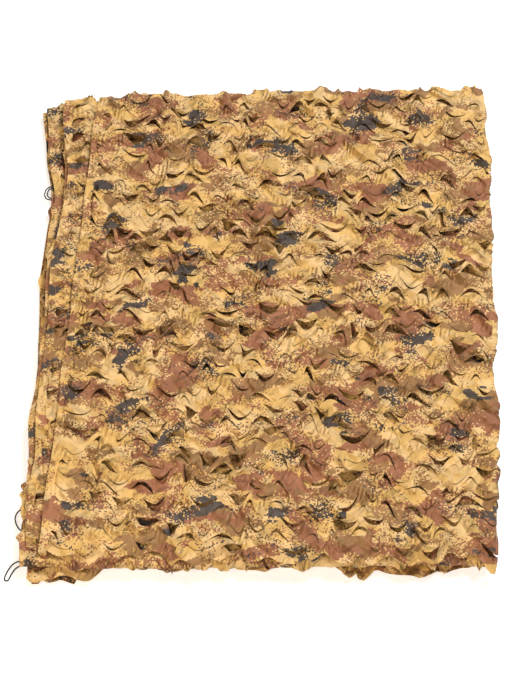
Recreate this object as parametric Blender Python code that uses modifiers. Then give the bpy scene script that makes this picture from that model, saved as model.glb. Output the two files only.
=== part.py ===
"""Camouflage netting, folded flat: one leaf-cut cloth and the cord loops at its hems.

Metres, +Z up. The cloth is doubled along its length, with the fold at +X and both hems at
-X. The doubled strip is then laid back and forth in four panels along Y. The origin is the
middle of the underside.
"""

import math
from collections import namedtuple

import bmesh
import bpy
from mathutils import Vector, noise

# Cloth and stack
SHEET = 0.002            # thickness of the cloth
PLY_RISE = 0.006         # from the middle of one ply to the middle of the next
PANEL_COUNT = 4          # panels of the doubled strip, two plies each
MIDDLE_X = 0.0098        # the outline's middle, in the frame of the tables below
MIDDLE_Y = 0.0719

# Leaf cuts
LEAF_COLUMNS = 16        # leaf cells across the top ply
LEAF_ROWS = 22           # leaf cells along the top ply
TONGUE_LIFT = 0.0065     # the loose edge of a tongue stands proud by this
LIP_DROP = 0.0016        # the edge facing it is pushed down by this
CELL_RELIEF = 0.0018     # the cells' corners lie above and below the ply by this
TIP_REACH = 0.0055       # leaf tips reach out of a folded or free edge by this

# Outline of a leaf cut, as shares across and along its cell. The lip is the edge that stays
# flat; the tongue is the loose one, with the share of its lift at each point.
CutPoint = namedtuple("CutPoint", "across along lift")
CUT_ENDS = (CutPoint(0.10, 0.64, 0.0), CutPoint(0.90, 0.64, 0.0))
CUT_LIP = (CutPoint(0.27, 0.36, 0.0), CutPoint(0.50, 0.25, 0.0), CutPoint(0.73, 0.36, 0.0))
CUT_TONGUE = (CutPoint(0.30, 0.60, 0.5), CutPoint(0.50, 0.53, 1.0), CutPoint(0.70, 0.60, 0.5))

# Steps across and along the plain plies, and round each turn
PLAIN_COLUMNS = 8
PLAIN_ROWS = 12
SIDE_TURN_STEPS = 4
END_TURN_STEPS = 4

# The top panel's free end hangs down a little
DROOP = 0.003
DROOP_SHARE = 0.06       # share of the panel's length that hangs

# How far a slanted corner reaches in from the hem, as a share of the width
CORNER_SHARE = 0.10

# The folds and hems waver about their lines, and the stack is slightly lumpy
WAVER = 0.005
WAVER_LENGTH = 0.11
TOP_HEM_ROW = 0.3        # the top ply's hem wavers apart from the hem under it
LUMP = 0.0015
LUMP_LENGTH = 0.16

# What would lie within this of the ground lies flat on it
GROUND_REACH = 0.0001

# Sections of the doubled strip, from the top panel's free end down to the bottom one's.
# fold: X of the lengthwise fold. hem_a, hem_b: X of the two hems; a is the ply that lies on
# top in the top panel. y_hem, y_fold: Y at the hem side and at the fold side. slant: how far
# the corner at the hem is drawn in.
Section = namedtuple("Section", "fold hem_a hem_b y_hem y_fold slant")
SECTIONS = {
    "top_end":    Section(0.386, -0.359, -0.378, -0.398, -0.411, 0.000),
    "top_middle": Section(0.418, -0.333, -0.374,  0.075,  0.075, 0.000),
    "far_upper":  Section(0.434, -0.308, -0.372,  0.540,  0.560, 0.000),
    "third_mid":  Section(0.410, -0.352, -0.382,  0.075,  0.075, 0.000),
    "near_fold":  Section(0.382, -0.382, -0.388, -0.402, -0.398, 0.000),
    "second_mid": Section(0.404, -0.388, -0.390,  0.075,  0.075, 0.000),
    "far_lower":  Section(0.426, -0.411, -0.417,  0.548,  0.552, 0.016),
    "bottom_mid": Section(0.400, -0.386, -0.392,  0.075,  0.075, 0.000),
    "bottom_end": Section(0.378, -0.372, -0.380, -0.429, -0.409, 0.000),
}

# Where all hems but the top ply's bulge out (reach over 0) or draw in, about a place in Y
HemBump = namedtuple("HemBump", "y reach width")
HEM_BUMPS = (
    HemBump(0.340, -0.016, 0.110),
    HemBump(-0.145, 0.006, 0.050),
    HemBump(-0.320, 0.007, 0.060),
)

# Panels from the top down: the names of their near, middle and far sections
PANELS = (
    ("top_end", "top_middle", "far_upper"),
    ("near_fold", "third_mid", "far_upper"),
    ("near_fold", "second_mid", "far_lower"),
    ("bottom_end", "bottom_mid", "far_lower"),
)

# Main creases, soft ridges (up) and troughs (down) that press through the whole stack.
# Each runs from x0, y0 to x1, y1, in the frame of the tables.
Crease = namedtuple("Crease", "x0 y0 x1 y1 width height")
CREASES = (
    Crease(-0.115, 0.427, -0.006, 0.489, 0.034, 0.0070),    # overlap across the far left
    Crease(0.137, 0.501, 0.206, 0.395, 0.036, -0.0050),     # trough at the far right
    Crease(0.040, 0.525, 0.110, 0.550, 0.040, 0.0055),      # bump at the far edge
    Crease(0.250, 0.520, 0.400, 0.470, 0.045, 0.0040),      # bump at the far right corner
    Crease(0.213, 0.150, 0.208, 0.030, 0.035, 0.0030),      # lengthwise crease
    Crease(0.306, -0.150, 0.303, -0.240, 0.035, 0.0030),    # lengthwise crease
    Crease(-0.250, 0.050, -0.120, -0.040, 0.050, 0.0030),   # low rise at the hem side
    Crease(-0.060, -0.200, 0.090, -0.260, 0.050, -0.0025),  # shallow dip near the front
)

# Cord loops: each strand comes out between two hems and goes back in. The far loop is
# doubled, so it has two strands. Routes in the frame of the tables.
CORD_DIAMETER = 0.0025
CORD_STEP = 0.005
ROUTE_STEPS = 8          # steps of the smooth curve between two points of a route
CORD_ROUTES = {
    "cord_loop_far": (
        (-0.3780, 0.3590, 0.0101), (-0.3880, 0.3590, 0.0101), (-0.3945, 0.3566, 0.0098),
        (-0.3990, 0.3520, 0.0086), (-0.4008, 0.3450, 0.0074), (-0.3996, 0.3375, 0.0078),
        (-0.3952, 0.3312, 0.0094), (-0.3885, 0.3287, 0.0101), (-0.3785, 0.3285, 0.0101),
    ),
    "cord_loop_far_inner": (
        (-0.3780, 0.3552, 0.0101), (-0.3870, 0.3550, 0.0101), (-0.3925, 0.3525, 0.0099),
        (-0.3952, 0.3470, 0.0092), (-0.3955, 0.3410, 0.0090), (-0.3930, 0.3355, 0.0096),
        (-0.3880, 0.3324, 0.0101), (-0.3785, 0.3320, 0.0101),
    ),
    "cord_loop_near": (
        (-0.3780, -0.3010, 0.0101), (-0.3900, -0.3008, 0.0101), (-0.3975, -0.3035, 0.0099),
        (-0.4030, -0.3085, 0.0086), (-0.4058, -0.3160, 0.0072), (-0.4045, -0.3240, 0.0070),
        (-0.4015, -0.3315, 0.0084), (-0.3965, -0.3385, 0.0098), (-0.3900, -0.3425, 0.0101),
        (-0.3800, -0.3430, 0.0101),
    ),
    "cord_loop_corner": (
        (-0.3760, -0.3935, 0.0101), (-0.3870, -0.3945, 0.0101), (-0.3955, -0.3960, 0.0094),
        (-0.4035, -0.3995, 0.0066), (-0.4095, -0.4060, 0.0040), (-0.4135, -0.4135, 0.0022),
        (-0.4160, -0.4205, 0.0015), (-0.4150, -0.4255, 0.0015), (-0.4105, -0.4258, 0.0015),
        (-0.4078, -0.4210, 0.0015), (-0.4050, -0.4145, 0.0022), (-0.4005, -0.4080, 0.0040),
        (-0.3950, -0.4045, 0.0070), (-0.3880, -0.4025, 0.0098), (-0.3790, -0.4010, 0.0101),
    ),
}


def clear_scene():
    for thing in list(bpy.data.objects):
        bpy.data.objects.remove(thing, do_unlink=True)


def make_material(name, colour, roughness, metallic=0.0):
    material = bpy.data.materials.new(name)
    material.use_nodes = True
    shader = material.node_tree.nodes["Principled BSDF"]
    shader.inputs["Base Color"].default_value = (*colour, 1.0)
    shader.inputs["Roughness"].default_value = roughness
    shader.inputs["Metallic"].default_value = metallic
    material.diffuse_color = (*colour, 1.0)
    return material


def quadratic(near, middle, far, share):
    """The curve through three values, at a share of the way from near to far."""
    return (near * (1 - share) * (1 - 2 * share)
            + middle * 4 * share * (1 - share)
            + far * share * (2 * share - 1))


def crease_height(x, y):
    """How much the creases raise the top of the stack at x, y."""
    total = 0.0
    for crease in CREASES:
        start = Vector((crease.x0, crease.y0))
        run = Vector((crease.x1, crease.y1)) - start
        share = (Vector((x, y)) - start).dot(run) / run.length_squared
        nearest = start + run * min(max(share, 0.0), 1.0)
        distance = (Vector((x, y)) - nearest).length
        total += crease.height * math.exp(-((distance / crease.width) ** 2))
    return total + LUMP * (1 + noise.noise(Vector((x / LUMP_LENGTH, y / LUMP_LENGTH, 0.0))))


def hem_bulge(y):
    """How far the hems below the top ply bulge out at y."""
    return sum(bump.reach * math.exp(-(((y - bump.y) / bump.width) ** 2)) for bump in HEM_BUMPS)


def waver(place, row):
    """How far an edge strays from its line, place metres along it; rows stray differently."""
    return WAVER * noise.noise(Vector((place / WAVER_LENGTH, row, 0.0)))


def edge_y(section, x, share):
    """Y of a fold or free end at x, a share of the way from the hem to the fold."""
    slant = section.slant * max(0.0, 1.0 - share / CORNER_SHARE)
    line = section.y_hem + (section.y_fold - section.y_hem) * share
    return line - slant + waver(x, section.y_hem / WAVER_LENGTH)


class Station:
    """One section across the doubled strip, on a panel or in a turn."""

    def __init__(self, panel, share, angle=90.0, turn_to=None):
        near, middle, far = (SECTIONS[name] for name in PANELS[panel])
        self.near, self.far, self.share = near, far, share
        self.fold = quadratic(near.fold, middle.fold, far.fold, share)
        self.hem_a = quadratic(near.hem_a, middle.hem_a, far.hem_a, share)
        self.hem_b = quadratic(near.hem_b, middle.hem_b, far.hem_b, share)
        y_hem = near.y_hem * (1 - share) + far.y_hem * share
        level = panel if turn_to is None else panel + (90 - angle) / 180
        self.fold += waver(y_hem, level)
        self.hem_a += waver(y_hem, level + TOP_HEM_ROW)
        self.hem_b += waver(y_hem, level) - hem_bulge(y_hem)
        if panel > 0:
            self.hem_a -= hem_bulge(y_hem)
        self.level = SHEET / 2 + PLY_RISE * (0.5 + 2 * (PANEL_COUNT - 1 - panel))
        self.up = 1 if panel % 2 == 0 else -1
        self.panel = panel
        self.turn_to = turn_to
        self.angle = math.radians(angle)
        self.on_top = panel == 0 and turn_to is None

    def point(self, x, offset, share):
        """The cloth's middle at x, offset from the strip's middle, share across."""
        y_near = edge_y(self.near, x, share)
        y = y_near + (edge_y(self.far, x, share) - y_near) * self.share
        z = self.level
        normal_y, normal_z = 0.0, self.up
        if self.turn_to is not None:
            out = 1 if self.turn_to == "far" else -1
            radius = PLY_RISE
            y += out * radius * math.cos(self.angle)
            z += radius * (math.sin(self.angle) - 1)
            normal_y = self.up * out * math.cos(self.angle)
            normal_z = self.up * math.sin(self.angle)
        y += normal_y * offset
        z += normal_z * offset
        if self.on_top and self.share < DROOP_SHARE:
            z -= DROOP * (1 - self.share / DROOP_SHARE) ** 2
        top = SHEET / 2 + PLY_RISE * (2 * PANEL_COUNT - 1)
        z += crease_height(x, y) * z / top if z > SHEET else 0.0
        return Vector((x - MIDDLE_X, y - MIDDLE_Y, z))

    def across(self):
        """The section's points, from hem b round the lengthwise fold to hem a."""
        half = PLY_RISE / 2
        fold = self.fold - half
        points = []
        for step in range(PLAIN_COLUMNS + 1):
            share = step / PLAIN_COLUMNS
            points.append(self.point(self.hem_b + (fold - self.hem_b) * share, -half, share))
        for step in range(1, SIDE_TURN_STEPS):
            turn = math.pi * (step / SIDE_TURN_STEPS - 0.5)
            points.append(self.point(fold + half * math.cos(turn), half * math.sin(turn), 1.0))
        columns = LEAF_COLUMNS if self.panel == 0 else PLAIN_COLUMNS
        for step in range(columns + 1):
            share = 1 - step / columns
            points.append(self.point(self.hem_a + (fold - self.hem_a) * share, half, share))
        return points


def stations():
    """All sections along the strip, from the top panel's free end to the bottom one's."""
    found = []
    for panel in range(PANEL_COUNT):
        steps = LEAF_ROWS if panel == 0 else PLAIN_ROWS
        forward = panel % 2 == 0
        for step in range(steps + 1):
            share = step / steps
            found.append(Station(panel, share if forward else 1 - share))
        if panel < PANEL_COUNT - 1:
            for step in range(1, END_TURN_STEPS):
                angle = 90 - 180 * step / END_TURN_STEPS
                found.append(Station(panel, 1.0 if forward else 0.0, angle,
                                     "far" if forward else "near"))
    return found


def is_opened(row, column):
    """Leaf cuts are opened at twice the leaves' pitch, staggered from row to row."""
    return row % 2 == 0 and column % 2 == (row // 2) % 2


def add_leaf_cell(mesh, corners, upwards):
    """A cell of the cloth with one crescent cut through it, its tongue lifted."""
    low_left, low_right, high_right, high_left = (corner.co for corner in corners)

    def spot(cut, height):
        low = low_left.lerp(low_right, cut.across)
        high = high_left.lerp(high_right, cut.across)
        along = cut.along if upwards else 1 - cut.along
        return mesh.verts.new(low.lerp(high, along) + Vector((0, 0, height)))

    left, right = (spot(cut, 0.0) for cut in CUT_ENDS)
    lip = [spot(cut, -LIP_DROP) for cut in CUT_LIP]
    tongue = [spot(cut, TONGUE_LIFT * cut.lift) for cut in CUT_TONGUE]
    if upwards:
        base_left, base_right, top_right, top_left = corners
    else:
        top_left, top_right, base_right, base_left = corners
    faces = (
        (base_left, lip[0], left), (base_left, lip[1], lip[0]), (base_left, base_right, lip[1]),
        (base_right, lip[2], lip[1]), (base_right, right, lip[2]),
        (top_left, left, tongue[0]), (top_left, tongue[0], tongue[1]),
        (top_right, top_left, tongue[1]), (top_right, tongue[1], tongue[2]),
        (top_right, tongue[2], right),
        (top_left, base_left, left), (base_right, top_right, right),
    )
    for face in faces:
        mesh.faces.new(face if upwards else face[::-1])


def shape_leaves(points, row):
    """Raise and lower the top ply's cells, and let its leaf tips reach past its edges."""
    for column, point in enumerate(points):
        if 0 < row < LEAF_ROWS and 0 < column < LEAF_COLUMNS:
            point.z += CELL_RELIEF * (1 if (row + column) % 2 else -1)
        elif row == 0 and column % 2:
            point.y -= TIP_REACH
        elif LEAF_ROWS < row and column % 2:
            point.y += TIP_REACH


def join_rows(mesh, row, fine, plain):
    """Faces between two sections; where the steps double, three triangles fill each step."""
    side = PLAIN_COLUMNS + SIDE_TURN_STEPS
    if len(fine) == len(plain):
        side = len(fine) - 1
    for column in range(side):
        corners = (fine[column], fine[column + 1], plain[column + 1], plain[column])
        leaf_column = column - PLAIN_COLUMNS - SIDE_TURN_STEPS
        if row < LEAF_ROWS and leaf_column >= 0 and is_opened(row, leaf_column):
            add_leaf_cell(mesh, corners, (row // 2) % 2 == 0)
        else:
            mesh.faces.new(corners)
    for step in range(len(plain) - 1 - side):
        low, middle, high = fine[side + 2 * step:side + 2 * step + 3]
        start, end = plain[side + step:side + step + 2]
        mesh.faces.new((low, middle, start))
        mesh.faces.new((middle, end, start))
        mesh.faces.new((middle, high, end))


def lay_flat(thing):
    """Apply the modifiers and set the underside exactly on the ground."""
    bpy.context.view_layer.update()
    evaluated = thing.evaluated_get(bpy.context.evaluated_depsgraph_get())
    data = bpy.data.meshes.new_from_object(evaluated)
    thing.modifiers.clear()
    thing.data = data
    for vertex in data.vertices:
        if vertex.co.z < GROUND_REACH:
            vertex.co.z = 0.0


def make_net(collection):
    mesh = bmesh.new()
    rows = []
    for row, section in enumerate(stations()):
        points = section.across()
        if section.panel == 0:
            shape_leaves(points[PLAIN_COLUMNS + SIDE_TURN_STEPS:], row)
        rows.append([mesh.verts.new(point) for point in points])
    for row in range(len(rows) - 1):
        join_rows(mesh, row, rows[row], rows[row + 1])
    data = bpy.data.meshes.new("net")
    mesh.to_mesh(data)
    mesh.free()
    net = bpy.data.objects.new("net", data)
    collection.objects.link(net)
    shell = net.modifiers.new("thickness", "SOLIDIFY")
    shell.thickness = SHEET
    shell.offset = 0.0
    shell.use_even_offset = True
    data.materials.append(make_material("net_cloth", (0.66, 0.47, 0.24), 0.7))
    lay_flat(net)


def smooth_route(route):
    """Points a fixed step apart on a smooth curve through the route."""
    points = [Vector(point) for point in route]
    fine = []
    for index in range(len(points) - 1):
        before = points[max(index - 1, 0)]
        start, end = points[index], points[index + 1]
        after = points[min(index + 2, len(points) - 1)]
        for step in range(ROUTE_STEPS):
            t = step / ROUTE_STEPS
            fine.append(0.5 * (2 * start + (end - before) * t
                               + (2 * before - 5 * start + 4 * end - after) * t ** 2
                               + (3 * start - before - 3 * end + after) * t ** 3))
    fine.append(points[-1])
    length = sum((b - a).length for a, b in zip(fine, fine[1:]))
    count = max(4, round(length / CORD_STEP))
    even = [fine[0]]
    travelled = 0.0
    for a, b in zip(fine, fine[1:]):
        stretch = (b - a).length
        while len(even) < count and travelled + stretch >= len(even) * length / count:
            even.append(a.lerp(b, (len(even) * length / count - travelled) / stretch))
        travelled += stretch
    even.append(fine[-1])
    return even


def make_cord(name, route, material, collection):
    curve = bpy.data.curves.new(name, "CURVE")
    curve.dimensions = "3D"
    curve.bevel_depth = CORD_DIAMETER / 2
    curve.bevel_resolution = 2
    curve.use_fill_caps = True
    points = smooth_route(route)
    spline = curve.splines.new("POLY")
    spline.points.add(len(points) - 1)
    for spline_point, point in zip(spline.points, points):
        spline_point.co = (point.x - MIDDLE_X, point.y - MIDDLE_Y, point.z, 1.0)
    curve.materials.append(material)
    cord = bpy.data.objects.new(name, curve)
    collection.objects.link(cord)
    return cord


def build():
    clear_scene()
    collection = bpy.data.collections.new("camouflage_netting")
    bpy.context.scene.collection.children.link(collection)
    make_net(collection)
    cord_material = make_material("cord_black", (0.02, 0.02, 0.022), 0.6)
    for name, route in CORD_ROUTES.items():
        make_cord(name, route, cord_material, collection)


build()
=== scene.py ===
"""Looks of the camouflage netting, folded flat: leaf-cut cloth, sewn hems and cord loops."""

import math
from collections import namedtuple

import bpy
import numpy as np
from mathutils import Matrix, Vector, noise


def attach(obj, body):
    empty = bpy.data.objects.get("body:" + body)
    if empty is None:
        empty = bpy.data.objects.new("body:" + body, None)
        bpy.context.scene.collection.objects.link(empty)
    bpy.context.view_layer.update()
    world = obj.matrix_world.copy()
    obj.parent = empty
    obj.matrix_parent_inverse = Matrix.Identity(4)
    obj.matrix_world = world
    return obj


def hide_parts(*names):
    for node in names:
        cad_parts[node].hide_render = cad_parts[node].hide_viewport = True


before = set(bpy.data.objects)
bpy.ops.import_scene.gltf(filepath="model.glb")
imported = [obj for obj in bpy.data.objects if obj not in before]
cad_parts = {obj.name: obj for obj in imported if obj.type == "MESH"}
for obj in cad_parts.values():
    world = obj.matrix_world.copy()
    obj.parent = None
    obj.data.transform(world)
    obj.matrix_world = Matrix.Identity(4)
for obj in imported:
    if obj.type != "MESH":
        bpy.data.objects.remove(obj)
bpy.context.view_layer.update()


# ---------------------------------------------------------------- view
# The folded net is seen from its front edge, from well above and far enough away that its
# sides hardly converge.
IMAGE_HEIGHT = 688
FOCAL_PIXELS = 1588
SENSOR = 36.0
VIEW_ELEVATION = math.radians(60)
VIEW_DISTANCE = 2.7834
MIDDLE_X = 0.0098        # the outline's middle, in the frame of the tables below
MIDDLE_Y = 0.0719
AIM_HEIGHT = 0.04
aim = Vector((-MIDDLE_X, -MIDDLE_Y, AIM_HEIGHT))
back = Vector((0.0, -math.cos(VIEW_ELEVATION), math.sin(VIEW_ELEVATION)))


def add_object(name, data):
    """An object of its own for the data, in the scene."""
    made = bpy.data.objects.new(name, data)
    bpy.context.scene.collection.objects.link(made)
    return made


lens = bpy.data.cameras.new("camera")
lens.sensor_fit = "VERTICAL"
lens.sensor_height = SENSOR
lens.lens = FOCAL_PIXELS / IMAGE_HEIGHT * SENSOR
camera = add_object("camera", lens)
camera.location = aim + back * VIEW_DISTANCE
camera.rotation_euler = (math.pi / 2 - VIEW_ELEVATION, 0.0, 0.0)
bpy.context.scene.camera = camera


# ---------------------------------------------------------------- cord loops
# Short ties of 2.5 mm black braided cord. Each strand comes out between two hems, droops
# over the hem below and goes back in, and its ends are sewn down inside. The far tie is
# doubled, so two strands show.
CORD_DIAMETER = 0.0025
CORD_STEP = 0.0025       # between the points of the finished line
ROUTE_STEPS = 8          # fine steps from one point of a route to the next
BRAID_PITCH = 0.0012
BAND_PERIOD = 0.31       # of the wave texture at a scale of 1
CORD_DARK = (14, 14, 16)
CORD_PALE = (46, 45, 48)
CordLoop = namedtuple("CordLoop", "length route")
CORD_LOOPS = {
    "cord_loop_far": CordLoop(0.064, (
        (-0.3780, 0.3590, 0.0101), (-0.3880, 0.3590, 0.0101), (-0.3945, 0.3566, 0.0098),
        (-0.3990, 0.3520, 0.0086), (-0.4008, 0.3450, 0.0074), (-0.3996, 0.3375, 0.0078),
        (-0.3952, 0.3312, 0.0094), (-0.3885, 0.3287, 0.0101), (-0.3785, 0.3285, 0.0101),
    )),
    "cord_loop_far_inner": CordLoop(0.049, (
        (-0.3780, 0.3552, 0.0101), (-0.3870, 0.3550, 0.0101), (-0.3925, 0.3525, 0.0099),
        (-0.3952, 0.3470, 0.0092), (-0.3955, 0.3410, 0.0090), (-0.3930, 0.3355, 0.0096),
        (-0.3880, 0.3324, 0.0101), (-0.3785, 0.3320, 0.0101),
    )),
    "cord_loop_near": CordLoop(0.079, (
        (-0.3780, -0.3010, 0.0101), (-0.3900, -0.3008, 0.0101), (-0.3975, -0.3035, 0.0099),
        (-0.4030, -0.3085, 0.0086), (-0.4058, -0.3160, 0.0072), (-0.4045, -0.3240, 0.0070),
        (-0.4015, -0.3315, 0.0084), (-0.3965, -0.3385, 0.0098), (-0.3900, -0.3425, 0.0101),
        (-0.3800, -0.3430, 0.0101),
    )),
    "cord_loop_corner": CordLoop(0.109, (
        (-0.3760, -0.3935, 0.0101), (-0.3870, -0.3945, 0.0101), (-0.3955, -0.3960, 0.0094),
        (-0.4035, -0.3995, 0.0066), (-0.4095, -0.4060, 0.0040), (-0.4135, -0.4135, 0.0022),
        (-0.4160, -0.4205, 0.0015), (-0.4150, -0.4255, 0.0015), (-0.4105, -0.4258, 0.0015),
        (-0.4078, -0.4210, 0.0015), (-0.4050, -0.4145, 0.0022), (-0.4005, -0.4080, 0.0040),
        (-0.3950, -0.4045, 0.0070), (-0.3880, -0.4025, 0.0098), (-0.3790, -0.4010, 0.0101),
    )),
}


def smooth_route(route):
    """Points a fixed step apart on a smooth curve through the route."""
    points = [Vector(point) for point in route]
    fine = []
    for index in range(len(points) - 1):
        before = points[max(index - 1, 0)]
        start, end = points[index], points[index + 1]
        after = points[min(index + 2, len(points) - 1)]
        for step in range(ROUTE_STEPS):
            t = step / ROUTE_STEPS
            fine.append(0.5 * (2 * start + (end - before) * t
                               + (2 * before - 5 * start + 4 * end - after) * t ** 2
                               + (3 * start - before - 3 * end + after) * t ** 3))
    fine.append(points[-1])
    length = sum((b - a).length for a, b in zip(fine, fine[1:]))
    count = round(length / CORD_STEP)
    even = [fine[0]]
    travelled = 0.0
    for a, b in zip(fine, fine[1:]):
        stretch = (b - a).length
        while len(even) < count and travelled + stretch >= len(even) * length / count:
            even.append(a.lerp(b, (len(even) * length / count - travelled) / stretch))
        travelled += stretch
    even.append(fine[-1])
    return even


def add_node(tree, kind, inputs=None, **settings):
    """A shader node with its settings; inputs are values, or sockets to link from."""
    made = tree.nodes.new(kind)
    for key, value in settings.items():
        setattr(made, key, value)
    for key, value in (inputs or {}).items():
        if isinstance(value, bpy.types.NodeSocket):
            tree.links.new(value, made.inputs[key])
        else:
            made.inputs[key].default_value = value
    return made


def maths(tree, operation, *terms):
    """What a Math node makes of its terms: values, or sockets to link from."""
    inputs = dict(enumerate(terms))
    return add_node(tree, "ShaderNodeMath", inputs, operation=operation).outputs[0]


def mixed(tree, share, first, second):
    """A colour between two others."""
    inputs = {"Factor": share, "A": first, "B": second}
    return add_node(tree, "ShaderNodeMix", inputs, data_type="RGBA").outputs["Result"]


def new_material(name, roughness, specular):
    """A material and its Principled node."""
    material = bpy.data.materials.new(name)
    material.use_nodes = True
    shader = material.node_tree.nodes["Principled BSDF"]
    shader.inputs["Roughness"].default_value = roughness
    shader.inputs["Specular IOR Level"].default_value = specular
    return material, shader


def linear(red, green, blue):
    """A colour given as it looks on a screen, 0 to 255, as linear light."""
    def lift(value):
        share = value / 255
        return share / 12.92 if share <= 0.04045 else ((share + 0.055) / 1.055) ** 2.4
    return (lift(red), lift(green), lift(blue), 1.0)


cord_black, shader = new_material("cord_black", 0.55, 0.4)
tree = cord_black.node_tree
place = add_node(tree, "ShaderNodeTexCoord").outputs["Object"]
braid = add_node(tree, "ShaderNodeTexWave", {
    "Vector": place, "Scale": BAND_PERIOD / BRAID_PITCH, "Distortion": 1.5, "Detail": 1.0,
}, bands_direction="DIAGONAL")
shades = mixed(tree, braid.outputs["Fac"], linear(*CORD_DARK), linear(*CORD_PALE))
relief = add_node(tree, "ShaderNodeBump", {
    "Height": braid.outputs["Fac"], "Strength": 0.5, "Distance": 0.0003,
})
tree.links.new(shades, shader.inputs["Base Color"])
tree.links.new(relief.outputs["Normal"], shader.inputs["Normal"])

for name, loop in CORD_LOOPS.items():
    points = [point - Vector((MIDDLE_X, MIDDLE_Y, 0.0)) for point in smooth_route(loop.route)]
    line = bpy.data.curves.new(name + "_braid", "CURVE")
    line.dimensions = "3D"
    line.bevel_depth = CORD_DIAMETER / 2
    line.bevel_resolution = 3
    line.use_fill_caps = True
    spline = line.splines.new("POLY")
    spline.points.add(len(points) - 1)
    for spline_point, point in zip(spline.points, points):
        spline_point.co = (*point, 1.0)
    spline.use_smooth = True
    line.materials.append(cord_black)
    cord = add_object(name + "_braid", line)
    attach(cord, "root")
    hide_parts(name)


# ---------------------------------------------------------------- leaf-cut cloth
# One length of thin coated cloth, doubled along its length and laid back and forth in four
# panels. Curved leaf cuts run across it in rows, arch up and arch down in turn, and each
# cut's tongue stands off the cloth. Cut out flat, hemmed, then pulled open.
PLY_RISE = 0.006         # from the middle of one ply to the middle of the next
LOWEST_PLY = 0.001       # height of the lowest ply's middle
PANEL_COUNT = 4          # panels of the doubled cloth, two plies each
DROOP = 0.003            # the top panel's free end hangs down by this
DROOP_SHARE = 0.06       # share of its length that hangs
CORNER_SHARE = 0.10      # how far a slanted corner reaches in, as a share of the width
WAVER = 0.005            # how far folds and hems waver about their lines
WAVER_LENGTH = 0.11
TOP_HEM_ROW = 0.3        # the top ply's hem wavers apart from the hem under it
LUMP = 0.0015            # lumps of the whole stack
LUMP_LENGTH = 0.16

# Sections of the doubled cloth. fold: X of its lengthwise fold. hem_a, hem_b: X of the two
# hems. y_hem, y_fold: Y at the hem side and at the fold side. slant: how far the corner at
# the hem is drawn in. The hems under the top ply bulge out, or draw in, at the bumps.
Section = namedtuple("Section", "fold hem_a hem_b y_hem y_fold slant")
SECTIONS = {
    "top_end":    Section(0.386, -0.359, -0.378, -0.398, -0.411, 0.000),
    "top_middle": Section(0.418, -0.333, -0.374,  0.075,  0.075, 0.000),
    "far_upper":  Section(0.434, -0.308, -0.372,  0.540,  0.560, 0.000),
    "third_mid":  Section(0.410, -0.352, -0.382,  0.075,  0.075, 0.000),
    "near_fold":  Section(0.382, -0.382, -0.388, -0.402, -0.398, 0.000),
    "second_mid": Section(0.404, -0.388, -0.390,  0.075,  0.075, 0.000),
    "far_lower":  Section(0.426, -0.411, -0.417,  0.548,  0.552, 0.016),
    "bottom_mid": Section(0.400, -0.386, -0.392,  0.075,  0.075, 0.000),
    "bottom_end": Section(0.378, -0.372, -0.380, -0.429, -0.409, 0.000),
}
HemBump = namedtuple("HemBump", "y reach width")      # reach under 0 draws the hems in
HEM_BUMPS = (
    HemBump(0.340, -0.016, 0.110),
    HemBump(-0.145, 0.006, 0.050),
    HemBump(-0.320, 0.007, 0.060),
)

# Each panel's near, middle and far section, from the top panel down
PANELS = (
    ("top_end", "top_middle", "far_upper"),
    ("near_fold", "third_mid", "far_upper"),
    ("near_fold", "second_mid", "far_lower"),
    ("bottom_end", "bottom_mid", "far_lower"),
)

# Broad ridges and troughs, from x0, y0 to x1, y1, which all the plies under them share
Crease = namedtuple("Crease", "x0 y0 x1 y1 width height")
CREASES = (
    Crease(-0.115, 0.427, -0.006, 0.489, 0.034, 0.0070),    # overlap across the far left
    Crease(0.137, 0.501, 0.206, 0.395, 0.036, -0.0050),     # trough at the far right
    Crease(0.040, 0.525, 0.110, 0.550, 0.040, 0.0055),      # bump at the far edge
    Crease(0.250, 0.520, 0.400, 0.470, 0.045, 0.0040),      # bump at the far right corner
    Crease(0.213, 0.150, 0.208, 0.030, 0.035, 0.0030),      # lengthwise crease
    Crease(0.306, -0.150, 0.303, -0.240, 0.035, 0.0030),    # lengthwise crease
    Crease(-0.250, 0.050, -0.120, -0.040, 0.050, 0.0030),   # low rise at the hem side
    Crease(-0.060, -0.200, 0.090, -0.260, 0.050, -0.0025),  # shallow dip near the front
)

# The cloth laid flat, in metres: u from hem a across the fold to hem b, v along a panel
LEAF_WIDE = 0.0466       # from one leaf cut to the next in its row
LEAF_LONG = 0.0415       # from one row of arch-up cuts to the next
LEAVES_WIDE = 16
LEAVES_LONG = 23
PLY_WIDE = LEAF_WIDE * LEAVES_WIDE
HAIRPIN = math.pi * PLY_RISE / 2
RUN_LONG = LEAF_LONG * LEAVES_LONG
TURN_LONG = math.pi * PLY_RISE
CLOTH_WIDE = 2 * PLY_WIDE + HAIRPIN
PANEL_LONG = RUN_LONG + TURN_LONG


def between(start, end, share):
    return start + (end - start) * share


def quadratic(near, middle, far, share):
    """A smooth curve through values at the near end, the middle and the far end."""
    return (near * (1 - share) * (1 - 2 * share)
            + middle * 4 * share * (1 - share)
            + far * share * (2 * share - 1))


def crease_height(x, y):
    """How far the broad creases and lumps lift the top ply at a place."""
    total = 0.0
    for crease in CREASES:
        run_x, run_y = crease.x1 - crease.x0, crease.y1 - crease.y0
        share = ((x - crease.x0) * run_x + (y - crease.y0) * run_y) / (run_x ** 2 + run_y ** 2)
        share = min(max(share, 0.0), 1.0)
        distance = math.hypot(x - crease.x0 - run_x * share, y - crease.y0 - run_y * share)
        total += crease.height * math.exp(-((distance / crease.width) ** 2))
    return total + LUMP * (1 + noise.noise(Vector((x / LUMP_LENGTH, y / LUMP_LENGTH, 0.0))))


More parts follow.
